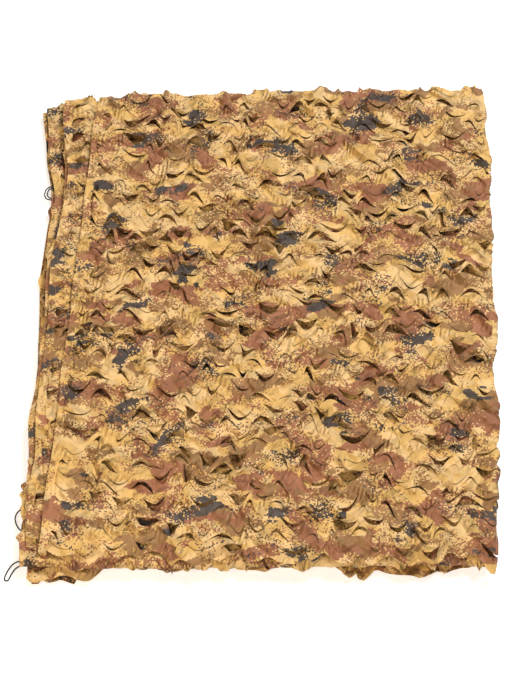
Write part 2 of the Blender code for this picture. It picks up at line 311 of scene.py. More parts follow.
def hem_bulge(y):
    """How far the hems below the top ply bulge out at y."""
    return sum(bump.reach * math.exp(-(((y - bump.y) / bump.width) ** 2)) for bump in HEM_BUMPS)


def waver(place, row):
    return WAVER * noise.noise(Vector((place / WAVER_LENGTH, row, 0.0)))


def edge_y(section, x, share):
    """Y of a fold or free end at x, a share of the way from the hem to the fold."""
    slant = section.slant * max(0.0, 1.0 - share / CORNER_SHARE)
    line = between(section.y_hem, section.y_fold, share)
    return line - slant + waver(x, section.y_hem / WAVER_LENGTH)


def row_in_stack(panel, v, across):
    """Where the flat cloth's row v of a panel lies in the folded stack, at each u across."""
    near, middle, far = (SECTIONS[name] for name in PANELS[panel])
    way = 1 if panel % 2 == 0 else -1      # hem a's ply above, running away, or the reverse
    turning = max(0.0, (v - RUN_LONG) / TURN_LONG) if panel < PANEL_COUNT - 1 else 0.0
    run = v / RUN_LONG if turning == 0.0 else 1.0
    share = run if way == 1 else 1.0 - run
    y_hem = between(near.y_hem, far.y_hem, share)
    level = panel + turning
    fold = quadratic(near.fold, middle.fold, far.fold, share) + waver(y_hem, level)
    hem_a = quadratic(near.hem_a, middle.hem_a, far.hem_a, share)
    hem_a += waver(y_hem, level + TOP_HEM_ROW)
    hem_b = quadratic(near.hem_b, middle.hem_b, far.hem_b, share)
    hem_b += waver(y_hem, level) - hem_bulge(y_hem)
    if panel > 0:
        hem_a -= hem_bulge(y_hem)
    half = PLY_RISE / 2
    fold -= half
    angle = math.pi * (0.5 - turning)
    middle_z = LOWEST_PLY + PLY_RISE * (0.5 + 2 * (PANEL_COUNT - 1 - panel))
    top = LOWEST_PLY + PLY_RISE * (2 * PANEL_COUNT - 1)
    points = []
    for u in across:
        if u <= PLY_WIDE:
            x_share, offset = u / PLY_WIDE, half
            x = between(hem_a, fold, x_share)
        elif u >= PLY_WIDE + HAIRPIN:
            x_share, offset = (CLOTH_WIDE - u) / PLY_WIDE, -half
            x = between(hem_b, fold, x_share)
        else:
            roll = math.pi * (0.5 - (u - PLY_WIDE) / HAIRPIN)
            x_share, offset = 1.0, half * math.sin(roll)
            x = fold + half * math.cos(roll)
        y = between(edge_y(near, x, x_share), edge_y(far, x, x_share), share)
        y += (way * PLY_RISE + offset) * math.cos(angle)
        z = middle_z + PLY_RISE * (math.sin(angle) - 1) + way * math.sin(angle) * offset
        if panel == 0 and share < DROOP_SHARE:
            z -= DROOP * (1 - share / DROOP_SHARE) ** 2
        if z > 2 * LOWEST_PLY:
            z += crease_height(x, y) * z / top
        points.append((x - MIDDLE_X, y - MIDDLE_Y, z))
    return points


class Course:
    """The folded course of one panel: its points and outward normals on a coarse grid."""

    PLY_STEPS = 48
    HAIRPIN_STEPS = 8
    RUN_STEPS = 60
    TURN_STEPS = 12
    MARGIN = 0.045       # how far the grid runs on past a free end

    def __init__(self, panel):
        self.across = np.concatenate((
            np.linspace(0.0, PLY_WIDE, self.PLY_STEPS + 1),
            np.linspace(PLY_WIDE, PLY_WIDE + HAIRPIN, self.HAIRPIN_STEPS + 1)[1:],
            np.linspace(PLY_WIDE + HAIRPIN, CLOTH_WIDE, self.PLY_STEPS + 1)[1:],
        ))
        rows = np.linspace(0.0, RUN_LONG, self.RUN_STEPS + 1)
        if panel == 0:
            rows = np.concatenate(([-self.MARGIN], rows))
        if panel < PANEL_COUNT - 1:
            turn = np.linspace(RUN_LONG, PANEL_LONG, self.TURN_STEPS + 1)[1:]
            rows = np.concatenate((rows, turn))
        else:
            rows = np.concatenate((rows, [RUN_LONG + self.MARGIN]))
        self.along = rows
        self.points = np.array([row_in_stack(panel, v, self.across) for v in rows])
        over_u = np.gradient(self.points, self.across, axis=1)
        over_v = np.gradient(self.points, self.along, axis=0)
        normals = np.cross(over_u, over_v)
        self.normals = normals / np.linalg.norm(normals, axis=2, keepdims=True)

    def at(self, u, v):
        """Points and normals at flat places u, v."""
        column = np.interp(u, self.across, np.arange(len(self.across)))
        row = np.interp(v, self.along, np.arange(len(self.along)))
        left = np.minimum(column.astype(int), len(self.across) - 2)
        low = np.minimum(row.astype(int), len(self.along) - 2)
        a = (column - left)[..., None]
        b = (row - low)[..., None]

        def blend(grid):
            return ((grid[low, left] * (1 - a) + grid[low, left + 1] * a) * (1 - b)
                    + (grid[low + 1, left] * (1 - a) + grid[low + 1, left + 1] * a) * b)

        normals = blend(self.normals)
        return blend(self.points), normals / np.linalg.norm(normals, axis=-1, keepdims=True)


# The rows of cuts are waves, so the cloth between two rows is a wavy band. An arch-up cut
# follows a wave over its crest, an arch-down cut the next wave through its trough. Each
# cut's tongue turns about the chord of its arc, and the lip across the cut swells or sinks.
WAVE = 0.0100            # height of a wave over its middle line
WAVE_START = 0.0117      # u of the first crest
HEM_WIDE = 0.013
TONGUE_REACH = 0.0165    # from a cut's chord to the far point of its arc
LIP_REACH = 0.019        # from a cut to the far corner of the three-cornered lip across it
SEAM_FADE = 0.020
LEAST_CUT = 0.45         # a cut that would run into a hem is left out below this share
CUT_CLEAR = 0.002        # from the end of a cut to a hem or to the next piece's cloth
CUT_SEED = 40
CUT_SIDE = 0.25          # how far off its cut each copy of a point is taken, in grid rows
ArchCut = namedtuple("ArchCut", "start end up")
ARCH_UP = ArchCut(-0.25, 0.44, 1)      # start and end, in leaf widths from the crest
ARCH_DOWN = ArchCut(-0.38, 0.38, -1)   # from the trough

# How far tongues and lips sink and rise at most, and how far cuts gape. Most stay nearly flat.
Stand = namedtuple("Stand", "tongue_sink tongue_rise lip_sink lip_rise gape")
STAND_UP = Stand(0.0080, 0.0050, 0.0020, 0.0150, 0.0125)
STAND_DOWN = Stand(0.0030, 0.0150, 0.0060, 0.0040, 0.0115)
LEAN = 1.3               # how much more one end of a cut stands open than the other
LEAST_LEAN = -0.6        # cuts lean one way up to this, and the other way up to 1
CALM_POWER = 2.4         # the higher, the more tongues and lips stay flat
SHUT_POWER = 3           # the higher, the more cuts stay shut
MOST_TURN = 1.1          # how far past its reach a tongue may turn, as a share
EVEN_PULL = 0.4          # share of a tongue's pull that its lean leaves alone
LIP_GAPE = 0.8           # share of its gape that a cut takes from its lip
PEAK_STRAY = 0.30        # how far a lip's peak lies from the middle of its cut

# Room that a ply has above and below its course
Room = namedtuple("Room", "above below")
INNER_ROOM = Room(0.0023, 0.0023)
OPEN_ROOM = Room(0.0150, 0.0030)       # where no ply lies over it
FOLD_ROOM = 0.0170                     # more, outwards, round the outside of a fold
FOLD_TONGUE = 0.0135                   # rounded tongues that stand out from the far folds
FOLD_TONGUE_SPAN = 0.034
FOLD_TONGUE_SHORT = 0.3                # how much less they change round a fold than along it
TONGUE_SWELL = 1.3                     # the higher, the more of these tongues there are
FOLD_CALM = 0.022                      # cuts this close to a fold stay nearly shut
FOLD_RELIEF = 0.2                      # share of their relief that they keep
FOLD_GAPE = 0.1                        # and of their gape
TURN_START = 0.010                     # how far before a turn its own relief begins
TURN_FADE = 0.015
TURN_RELIEF = 0.3                      # share of the plain relief that a turn keeps
DRIFT = 0.0090                         # how far leaves stray from their rows, in broad swells
DRIFT_SPAN = 0.140
JITTER = 0.0085                        # and from leaf to leaf
FACET = 0.0060                         # height of the flat facets between the cuts
SMALL_FACET = 0.5                      # share of that for smaller facets, turned a little
SMALL_FACET_LEAN = 0.4
SMALL_FACET_SPANS = (0.029, 0.034)
FACET_RISE = 0.5                       # share of it by which all facets stand higher
HIDDEN_RELIEF = 0.35                   # share of its relief that a covered ply keeps
HIDDEN_FACET = 0.3                     # and of its facets
HEM_LOOSE = 0.12                       # share of all this that a hem keeps
HEM_FADE = 0.010                       # from a hem to loose cloth
HEM_THICK = 0.0011                     # the turned-over hem stands this proud
HEM_STEP = 0.0008                      # width of the step down from it
HEM_STEP_LINE = 0.0009                 # the grid has a line this far from the hem's edge
PUCKER = 0.0007
PUCKER_LONG = 0.0140
BARE_START = 0.002                     # how far past a hem the cloth under it comes out
BARE_FADE = 0.008
FRONT_START = 0.010                    # the same at the front, for the lowest panel
FRONT_FADE = 0.010
TILT_GAIN = 1.4                        # how soon sloping cloth counts as the side of a fold
UPRIGHT_GAIN = 4                       # and how soon it counts as lying flat
GROUND_GAP = 0.0004
SHUT_GAP = 0.0030                      # a cut less open than this gets a dark line of painted shade, for the shadow in a shut slit
OPEN_SLIT_SHADE = 0.45                        # how dark the painted shade along an open cut stays beside that
FAINT_SLIT_SHADE = 0.25                       # and the faintest of these painted shade lines beside the darkest

# The front edges of the top panel and the lowest one. felt: how far in from the edge the
# cloth gives way. waves, gape: shares that are kept at the edge. line: points from the hems
# to the folds, each with its x, its y and how far the edge hangs down there.
UNDER_PLY = 0.008        # the hidden ply of each ends this much further back
END_STRAY = 0.0030
END_STRAY_SPAN = 0.037
DROP_STRAY = 0.3
DROP_STRAY_SPAN = 0.047
FrontEdge = namedtuple("FrontEdge", "felt waves gape line")
FRONT_EDGES = {
    0: FrontEdge(0.040, 0.5, 1.0, (
        (-0.372, -0.392, 0.003), (-0.345, -0.399, 0.006), (-0.300, -0.399, 0.004),
        (-0.240, -0.400, 0.005), (-0.180, -0.400, 0.004), (-0.110, -0.404, 0.005),
        (-0.065, -0.411, 0.006), (-0.030, -0.402, 0.005), (0.050, -0.404, 0.004),
        (0.110, -0.395, 0.003), (0.128, -0.407, 0.006), (0.180, -0.400, 0.004),
        (0.215, -0.401, 0.005), (0.238, -0.409, 0.006), (0.271, -0.412, 0.007),
        (0.300, -0.404, 0.005), (0.350, -0.404, 0.006), (0.372, -0.411, 0.014),
        (0.395, -0.404, 0.016),
    )),
    3: FrontEdge(0.090, 0.2, 0.2, (
        (-0.385, -0.420, 0.0), (-0.372, -0.431, 0.0), (-0.320, -0.427, 0.0),
        (-0.300, -0.437, 0.0), (-0.282, -0.424, 0.0), (-0.262, -0.396, 0.0),
        (-0.200, -0.386, 0.0), (-0.178, -0.398, 0.0), (-0.158, -0.414, 0.0),
        (-0.080, -0.415, 0.0), (-0.054, -0.421, 0.0), (-0.042, -0.413, 0.0),
        (-0.028, -0.419, 0.0), (0.000, -0.411, 0.0), (0.048, -0.407, 0.0),
        (0.100, -0.407, 0.0), (0.136, -0.420, 0.0), (0.158, -0.409, 0.0),
        (0.184, -0.419, 0.0), (0.205, -0.411, 0.0), (0.250, -0.410, 0.0),
        (0.290, -0.408, 0.0), (0.309, -0.421, 0.0), (0.330, -0.403, 0.0),
        (0.370, -0.398, 0.0),
    )),
}

# Main folds of the top ply: ridges, and troughs, each steeper on the right hand
# side of its line
RUMPLE_POWER = 1.4       # 1 gives folds with sharp crests, 2 round ones
Rumple = namedtuple("Rumple", "x0 y0 x1 y1 width height steep")
RUMPLES = (
    Rumple(-0.128, 0.423, -0.008, 0.486, 0.024, 0.0110, 4.0),   # overlap across the far left
    Rumple(0.108, 0.513, 0.066, 0.537, 0.014, 0.0120, 3.0),     # leaf lifted at the far edge
    Rumple(0.078, 0.498, 0.158, 0.477, 0.013, -0.0080, 1.0),    # the dark trough under it
    Rumple(0.136, 0.436, 0.023, 0.478, 0.015, 0.0080, 2.5),
    Rumple(0.178, 0.422, 0.215, 0.380, 0.015, 0.0090, 4.0),
    Rumple(0.295, 0.392, 0.240, 0.413, 0.016, 0.0085, 4.0),
    Rumple(0.240, 0.520, 0.300, 0.480, 0.016, 0.0080, 2.0),
    Rumple(0.350, 0.360, 0.300, 0.440, 0.014, 0.0070, 3.0),
    Rumple(-0.240, 0.440, -0.170, 0.462, 0.016, 0.0070, 3.0),
    Rumple(-0.034, 0.383, 0.007, 0.344, 0.014, 0.0060, 3.0),
    Rumple(0.310, 0.318, 0.376, 0.288, 0.014, 0.0065, 3.0),
    Rumple(0.208, 0.150, 0.212, 0.060, 0.012, 0.0045, 2.0),
    Rumple(0.249, 0.024, 0.262, -0.120, 0.013, 0.0050, 2.0),
    Rumple(-0.131, 0.128, -0.190, 0.024, 0.014, 0.0055, 2.5),
    Rumple(0.020, 0.200, 0.110, 0.150, 0.014, 0.0055, 3.0),
    Rumple(-0.245, -0.236, -0.196, -0.276, 0.013, 0.0085, 4.0),
    Rumple(-0.176, -0.222, -0.138, -0.260, 0.012, 0.0070, 4.0),
    Rumple(-0.138, -0.278, -0.098, -0.322, 0.012, 0.0075, 4.0),
    Rumple(-0.281, -0.300, -0.190, -0.280, 0.012, -0.0050, 1.0),
    Rumple(-0.055, -0.144, -0.037, -0.250, 0.012, 0.0055, 2.0),
    Rumple(0.060, -0.200, 0.130, -0.270, 0.012, 0.0060, 3.0),
    Rumple(0.180, -0.300, 0.230, -0.210, 0.012, 0.0060, 2.0),
    Rumple(0.300, 0.180, 0.370, 0.130, 0.014, 0.0060, 3.0),
)


def rumple(x, y):
    """Height of the listed folds at places on the top ply."""
    total = np.zeros_like(x)
    for fold in RUMPLES:
        run_x, run_y = fold.x1 - fold.x0, fold.y1 - fold.y0
        out_x, out_y = x - fold.x0, y - fold.y0
        share = np.clip((out_x * run_x + out_y * run_y) / (run_x ** 2 + run_y ** 2), 0.0, 1.0)
        away = np.hypot(out_x - run_x * share, out_y - run_y * share) / fold.width
        away *= np.where(out_x * run_y > out_y * run_x, fold.steep, 1.0)
        total += fold.height * np.exp(-(away ** RUMPLE_POWER))
    return total


# Pulled bits of the hems that stick out, or stay in, mostly near the front corner
RAG_DEEP = 0.030         # how far in from the hem the cloth is pulled along
RAG_LIFT = 0.4           # how far it rises, as a share of the pull
HemRag = namedtuple("HemRag", "panel y reach half_width")
HEM_RAGS = (
    HemRag(2, -0.216, 0.005, 0.0070),
    HemRag(3, -0.236, -0.006, 0.0100),
    HemRag(2, -0.262, 0.010, 0.0075),
    HemRag(1, -0.286, 0.007, 0.0060),
    HemRag(3, -0.300, 0.009, 0.0090),
    HemRag(2, -0.312, -0.007, 0.0110),
    HemRag(3, -0.330, 0.006, 0.0060),
    HemRag(1, -0.340, -0.008, 0.0130),
    HemRag(2, -0.356, 0.010, 0.0070),
    HemRag(3, -0.372, -0.006, 0.0070),
    HemRag(3, -0.388, 0.009, 0.0060),
    HemRag(2, 0.300, 0.005, 0.0090),
    HemRag(1, 0.190, 0.005, 0.0120),
    HemRag(3, 0.150, 0.004, 0.0090),
    HemRag(1, 0.415, 0.004, 0.0120),
)

# The plies from the top of the stack down, as panel and hem
STACK = ((0, "a"), (0, "b"), (1, "b"), (1, "a"), (2, "a"), (2, "b"), (3, "b"), (3, "a"))


def wave(u):
    return WAVE * np.cos(2 * math.pi * (u - WAVE_START) / LEAF_WIDE)


def facets(u, v, span_u, span_v, seed):
    """Heights of flat three-cornered facets between random nodes, -1 to 1."""
    size = 256           # nodes each way before the pattern comes again
    nodes = np.random.default_rng(seed).uniform(-1, 1, (size, size))
    p = u / span_u + v / span_v
    q = u / span_u - v / span_v
    i, j = np.floor(p).astype(int), np.floor(q).astype(int)
    a, b = p - i, q - j
    here = nodes[i % size, j % size]
    next_i = nodes[(i + 1) % size, j % size]
    next_j = nodes[i % size, (j + 1) % size]
    beyond = nodes[(i + 1) % size, (j + 1) % size]
    lower = here * (1 - a - b) + next_i * a + next_j * b
    upper = beyond * (a + b - 1) + next_i * (1 - b) + next_j * (1 - a)
    return np.where(a + b < 1, lower, upper)


def edge_facets(u, place, span, seed):
    """Facets along an edge: one line across the pattern above, at a place of its own."""
    return facets(u, np.full_like(u, place), span, 1.0, seed)


SWELL_WAVES = 7
SWELL_SPANS = (0.7, 1.5)               # shortest and longest wave, as shares of the span
SWELL_SIZE = 2.6                       # height that the waves reach together


def swell(u, v, span, seed):
    """A smooth uneven surface, about -1 to 1, with waves about span long."""
    rng = np.random.default_rng(seed)
    total = np.zeros_like(u)
    for _ in range(SWELL_WAVES):
        heading, start = rng.uniform(0, 2 * math.pi, 2)
        pace = 2 * math.pi / (span * rng.uniform(*SWELL_SPANS))
        total += np.sin(pace * (u * math.cos(heading) + v * math.sin(heading)) + start)
    return total / SWELL_SIZE


def smoothstep(value):
    share = np.clip(value, 0.0, 1.0)
    return share * share * (3 - 2 * share)


def hem_line(course, hem):
    """The hem's y and x along a course, in order of y."""
    edge = course.points[:, 0 if hem == "a" else -1]
    order = np.argsort(edge[:, 1])
    return edge[order, 1], edge[order, 0]


def bare_share(panel, hem, points, courses):
    """Share by which points of a ply lie bare, past the hems and ends of the plies above."""
    x, y = points[..., 0], points[..., 1]
    above = STACK[:STACK.index((panel, hem))]
    cover = np.full_like(x, 1.0)
    for other_panel, other_hem in above:
        cover = np.minimum(cover, np.interp(y, *hem_line(courses[other_panel], other_hem)))
    bare = smoothstep((cover - BARE_START - x) / BARE_FADE)
    if panel == PANEL_COUNT - 1:
        front = SECTIONS["near_fold"].y_hem - MIDDLE_Y - FRONT_START
        bare = np.maximum(bare, smoothstep((front - y) / FRONT_FADE))
    return np.where(len(above) == 0, 1.0, bare)


class LeafCloth:
    """A rectangle of leaf-cut cloth laid on a panel's course."""

    def __init__(self, piece, courses):
        self.piece = piece
        self.courses = courses
        self.course = courses[piece.panel]
        self.seed = 100 * piece.panel
        self.half_rows = piece.rows_per_leaf // 2
        self.long = RUN_LONG if piece.panel == PANEL_COUNT - 1 else PANEL_LONG
        self.rows = round(self.long / LEAF_LONG * piece.rows_per_leaf)
        self.row_step = self.long / self.rows
        hem_lines = (
            HEM_WIDE,
            HEM_WIDE + HEM_STEP_LINE,
            CLOTH_WIDE - HEM_WIDE - HEM_STEP_LINE,
            CLOTH_WIDE - HEM_WIDE,
        )
        self.line_u = np.sort(np.concatenate((
            np.linspace(piece.u_start, piece.u_end, piece.columns + 1),
            [line for line in hem_lines if piece.u_start < line < piece.u_end],
        )))
        self.leaf_first = math.floor((piece.u_start - WAVE_START) / LEAF_WIDE) - 1
        leaf_last = math.ceil((piece.u_end - WAVE_START) / LEAF_WIDE) + 1
        self.leaves = leaf_last - self.leaf_first + 1
        self.lines = self.rows // self.half_rows + 2
        self.draw_cuts()

    def draw_cuts(self):
        """Choose where cuts run, how each stands and how dark a line of painted shade it gets.
        Grid points on a cut get two copies.
        """
        piece = self.piece
        self.cut = np.zeros((self.rows + 1, len(self.line_u)), bool)
        self.slit_shade = np.zeros(self.cut.shape)
        rng = np.random.default_rng(CUT_SEED + piece.panel)
        shape = (self.lines, self.leaves)
        self.live = np.zeros(shape, bool)
        self.tongue = rng.uniform(-1.0, 1.0, shape)
        self.tongue *= np.abs(self.tongue) ** CALM_POWER
        self.lip = rng.uniform(-1.0, 1.0, shape)
        self.lip *= np.abs(self.lip) ** CALM_POWER
        self.gape = rng.random(shape) ** SHUT_POWER
        self.skew = rng.uniform(LEAST_LEAN, 1.0, shape)
        at_hem = HEM_WIDE + CUT_CLEAR
        low_limit = piece.u_start + (at_hem if piece.u_start == 0.0 else CUT_CLEAR)
        high_limit = piece.u_end - (at_hem if piece.u_end == CLOTH_WIDE else CUT_CLEAR)
        for line in range(self.lines):
            row = line * self.half_rows
            arch = ARCH_UP if line % 2 == 0 else ARCH_DOWN
            if not 2 <= row <= self.rows - 2:
                continue
            for leaf in range(self.leaves):
                middle = self.leaf_first + leaf + (0 if arch.up == 1 else 0.5)
                start = max(WAVE_START + (middle + arch.start) * LEAF_WIDE, low_limit)
                end = min(WAVE_START + (middle + arch.end) * LEAF_WIDE, high_limit)
                if end - start > LEAST_CUT * (arch.end - arch.start) * LEAF_WIDE:
                    along = (self.line_u > start) & (self.line_u < end)
                    self.cut[row, along] = True
                    # How dark the painted shade line along this cut is
                    self.slit_shade[row, along] = rng.uniform(FAINT_SLIT_SHADE, 1.0)
                    self.live[line, leaf] = True

    def arch_relief(self, arch, stand, row, u, side):
        """Height off the course and shift along v that one kind of cut gives the cloth."""
        up = arch.up
        odd = 0 if up == 1 else 1
        per_leaf = 2 * self.half_rows
        leaf = np.round((u - WAVE_START) / LEAF_WIDE - 0.5 * odd).astype(int)
        across = (u - WAVE_START) / LEAF_WIDE - 0.5 * odd - leaf
        column = np.clip(leaf - self.leaf_first, 0, self.leaves - 1)
        share = np.clip((across - arch.start) / (arch.end - arch.start), 0.0, 1.0)
        chord = up * WAVE * (math.cos(2 * math.pi * arch.start) * (1 - share)
                             + math.cos(2 * math.pi * arch.end) * share)
        place = (row - odd * self.half_rows + CUT_SIDE * side) / per_leaf
        before, after = np.floor(place), np.ceil(place)
        tongue_line, lip_line = (after, before) if up == 1 else (before, after)

        def pick(table, line):
            index = (2 * line + odd).astype(int)
            inside = (index >= 0) & (index < self.lines)
            index = np.clip(index, 0, self.lines - 1)
            return np.where(inside & self.live[index, column], table[index, column], 0.0)

        def away(line):
            return (row - odd * self.half_rows - line * per_leaf) * self.row_step

        # The tongue
        reach = up * (away(tongue_line) + wave(u) - chord)
        within = (share > 0.0) & (share < 1.0)
        turn = np.where(within, np.clip(reach / TONGUE_REACH, 0, MOST_TURN), 0)
        drawn = pick(self.tongue, tongue_line)
        lift = np.where(drawn > 0, stand.tongue_rise, stand.tongue_sink) * drawn
        lean = np.maximum(1 + LEAN * up * pick(self.skew, tongue_line) * (2 * share - 1), 0)
        height = lift * lean * turn
        pull = lift ** 2 / (2 * TONGUE_REACH) + stand.gape * pick(self.gape, tongue_line)
        shift = -up * pull * turn * between(EVEN_PULL, 1.0, lean)
        # The lip
        drawn = pick(self.lip, lip_line)
        peak = 0.5 + PEAK_STRAY * up * pick(self.skew, lip_line)
        tent = np.minimum(share / peak, (1 - share) / (1 - peak))
        tent = np.clip(tent - np.abs(away(lip_line)) / LIP_REACH, 0.0, 1.0)
        height += np.where(drawn > 0, stand.lip_rise, stand.lip_sink) * drawn * tent
        shift += up * LIP_GAPE * stand.gape * pick(self.gape, lip_line) * tent
        return height, shift

    def looseness(self, u, v):
        """How free the cloth is: 0 where it joins another piece, little at its hems, then 1."""
        piece = self.piece
        calm = np.ones_like(v)
        if piece.panel > 0:
            calm *= smoothstep(v / SEAM_FADE)
        if piece.panel < PANEL_COUNT - 1:
            calm *= smoothstep((self.long - v) / SEAM_FADE)
        if piece.u_start > 0.0:
            calm *= smoothstep((u - piece.u_start) / SEAM_FADE)
        if piece.u_end < CLOTH_WIDE:
            calm *= smoothstep((piece.u_end - u) / SEAM_FADE)
        from_hem = np.minimum(u, CLOTH_WIDE - u)
        return calm * between(HEM_LOOSE, 1.0, smoothstep((from_hem - HEM_WIDE) / HEM_FADE))

    def front_edge(self, u, v, near_end):
        """How far forward the front edge draws the cloth, and how far down it hangs."""
        top = self.piece.panel == 0
        line_x, line_y, line_drop = zip(*FRONT_EDGES[self.piece.panel].line)
        ends, _ = self.course.at(u, np.full_like(v, 0.0 if top else self.long))
        x, y = ends[..., 0] + MIDDLE_X, ends[..., 1] + MIDDLE_Y
        in_ply_b = u > PLY_WIDE + HAIRPIN / 2
        hidden = in_ply_b if top else ~in_ply_b & (u > HEM_WIDE)
        reach = y - np.interp(x, line_x, line_y) - UNDER_PLY * hidden
        reach += END_STRAY * edge_facets(u, 0.3, END_STRAY_SPAN, self.seed + 5)
        drop = np.interp(x, line_x, line_drop) * near_end ** 3
        drop *= 1 + DROP_STRAY * edge_facets(u, 0.7, DROP_STRAY_SPAN, self.seed + 8)
        return (-1 if top else 1) * reach * near_end, drop

    def bareness(self, u, v, points, upright):
        """Share by which each point lies bare on the outside of the stack."""
        panel = self.piece.panel
        in_ply_b = u > PLY_WIDE + HAIRPIN / 2
        bare = np.where(in_ply_b, bare_share(panel, "b", points, self.courses),
                        bare_share(panel, "a", points, self.courses))
        if panel == 0:
            bare = np.where(~in_ply_b & (v > RUN_LONG), smoothstep(1 + upright), bare)
        return bare * smoothstep(np.abs(upright) * UPRIGHT_GAIN)

    def lay(self, row, u, side):
        """Points of the cloth, and their flat places, at grid rows and flat u."""
        piece = self.piece
        seed = self.seed
        v = row * self.row_step
        loose = self.looseness(u, v)
        height, shift = np.zeros_like(u), np.zeros_like(u)
        for arch, stand in ((ARCH_UP, STAND_UP), (ARCH_DOWN, STAND_DOWN)):
            rise, slide = self.arch_relief(arch, stand, row, u, side)
            height += rise
            shift += slide
        at_fold = smoothstep(1 - np.abs(u - PLY_WIDE - HAIRPIN / 2) / FOLD_CALM)
        if piece.panel < PANEL_COUNT - 1:
            at_fold = np.maximum(at_fold, smoothstep((v - RUN_LONG + FOLD_CALM) / FOLD_CALM))
        height *= between(1.0, FOLD_RELIEF, at_fold)
        shift *= between(1.0, FOLD_GAPE, at_fold)
        wavy = loose
        near_end = np.zeros_like(v)
        if piece.panel in FRONT_EDGES:
            edge = FRONT_EDGES[piece.panel]
            from_end = v if piece.panel == 0 else self.long - v
            near_end = smoothstep(1 - from_end / edge.felt)
            wavy = loose * between(1.0, edge.waves, near_end)
            shift *= between(1.0, edge.gape, near_end)

        # Where the leaves have strayed to
        flat_v = v + wave(u) * wavy
        drift_u = DRIFT * swell(u, flat_v, DRIFT_SPAN, seed + 1)
        drift_u += JITTER * facets(u, flat_v, LEAF_WIDE, LEAF_LONG, seed + 2)
        drift_v = DRIFT * swell(u, flat_v, DRIFT_SPAN, seed + 3)
        drift_v += JITTER * facets(u, flat_v, LEAF_WIDE, LEAF_LONG, seed + 4)
        flat_u = u + drift_u * loose
        stray_v = flat_v + (drift_v + shift) * loose
        drop = 0.0
        if piece.panel in FRONT_EDGES:
            forward, drop = self.front_edge(u, v, near_end)
            stray_v += forward
        points, normals = self.course.at(flat_u, stray_v)

        # How far they stand off the course
        upright = normals[..., 2]
        tilt = smoothstep((1 - np.abs(upright)) * TILT_GAIN)
        bare = self.bareness(u, v, points, upright)
        grown = np.maximum(bare, tilt)
        large = facets(u, flat_v, LEAF_WIDE, LEAF_LONG, seed + 6)
        lean = SMALL_FACET_LEAN
        small = facets(u + lean * flat_v, flat_v - lean / 2 * u, *SMALL_FACET_SPANS, seed + 7)
        creased = FACET * (large + SMALL_FACET * small + FACET_RISE)
        off = height * between(HIDDEN_RELIEF, 1.0, grown)
        off += creased * between(HIDDEN_FACET, 1.0, grown)
        off *= loose
        tongues = swell(u, FOLD_TONGUE_SHORT * flat_v, FOLD_TONGUE_SPAN, seed + 9)
        tongues = np.sqrt(np.clip(TONGUE_SWELL * tongues, 0.0, 1.0))
        turning = smoothstep((v - RUN_LONG + TURN_START) / TURN_FADE) * tilt
        off *= between(1.0, TURN_RELIEF, turning)
        off += FOLD_TONGUE * tongues * turning * loose
        if piece.panel == 0:
            on_top = bare * (upright > 0.5)
            off += on_top * rumple(points[..., 0] + MIDDLE_X, points[..., 1] + MIDDLE_Y)
        from_hem = np.minimum(u, CLOTH_WIDE - u)
        turned = 1 - smoothstep((from_hem - HEM_WIDE) / HEM_STEP)
        off += turned * bare * (HEM_THICK + PUCKER * np.sin(2 * math.pi * v / PUCKER_LONG))
        above = between(INNER_ROOM.above, OPEN_ROOM.above, bare) + FOLD_ROOM * tilt
        below = between(INNER_ROOM.below, OPEN_ROOM.below, bare)
        facing = between(1.0, np.where(upright < 0, -1.0, 1.0), bare)
        points = points + normals * (np.clip(off, -below, above) * facing)[..., None]
        points[..., 2] -= drop
        for rag in HEM_RAGS:
            if rag.panel == piece.panel:
                along = (points[..., 1] + MIDDLE_Y - rag.y) / rag.half_width
                pulled = rag.reach * np.exp(-(along ** 2)) * smoothstep(1 - from_hem / RAG_DEEP)
                points[..., 0] -= pulled
                points[..., 2] += RAG_LIFT * pulled
        return points, np.stack((flat_u, flat_v + drift_v * loose), axis=-1)

    def make_mesh(self, name):
        rows, columns = self.cut.shape
        row_of, u_of = np.meshgrid(np.arange(rows, dtype=float), self.line_u, indexing="ij")
        on_cut = self.cut.astype(float)
        low_points, flat = self.lay(row_of, u_of, -on_cut)
        high_points, _ = self.lay(row_of, u_of, on_cut)
        low = np.arange(rows * columns).reshape(rows, columns)
        high = low.copy()
        high[self.cut] = rows * columns + np.arange(self.cut.sum())
        points = np.concatenate((low_points.reshape(-1, 3), high_points[self.cut]))
        points[:, 2] = np.maximum(points[:, 2], GROUND_GAP)
        flat += (0.0, self.piece.panel * PANEL_LONG)
        flat = np.concatenate((flat.reshape(-1, 2), flat[self.cut]))
        # Painted shade along each cut: a dark line for the shadow in the slit, darkest where it
        # stays shut
        open_by = np.linalg.norm(high_points - low_points, axis=2)
        shut = self.slit_shade * between(OPEN_SLIT_SHADE, 1.0, np.exp(-((open_by / SHUT_GAP) ** 2)))
        edge = np.concatenate((shut.ravel(), shut[self.cut]))
        quads = np.stack((high[:-1, :-1], high[:-1, 1:], low[1:, 1:], low[1:, :-1]), axis=-1)
        return grid_mesh(name, points, quads.reshape(-1, 4), flat, edge)


def grid_mesh(name, points, quads, flat, edge):
    """A smooth mesh of quads with the cloth's flat places as its UV map and the painted shade
    along its cuts.
    """
    data = bpy.data.meshes.new(name)
    data.vertices.add(len(points))
    data.vertices.foreach_set("co", points.astype(np.float32).ravel())
    data.loops.add(quads.size)
    data.loops.foreach_set("vertex_index", quads.astype(np.int32).ravel())
    data.polygons.add(len(quads))
    data.polygons.foreach_set("loop_start", np.arange(0, quads.size, 4, dtype=np.int32))
    data.update(calc_edges=True)
    data.validate()
    layer = data.uv_layers.new(name="flat_cloth")
    layer.data.foreach_set("uv", flat[quads.ravel()].astype(np.float32).ravel())
    painted_slit_shade = data.attributes.new("painted_slit_shade", "FLOAT", "POINT")
    painted_slit_shade.data.foreach_set("value", edge.astype(np.float32))
    data.shade_smooth()
    return data


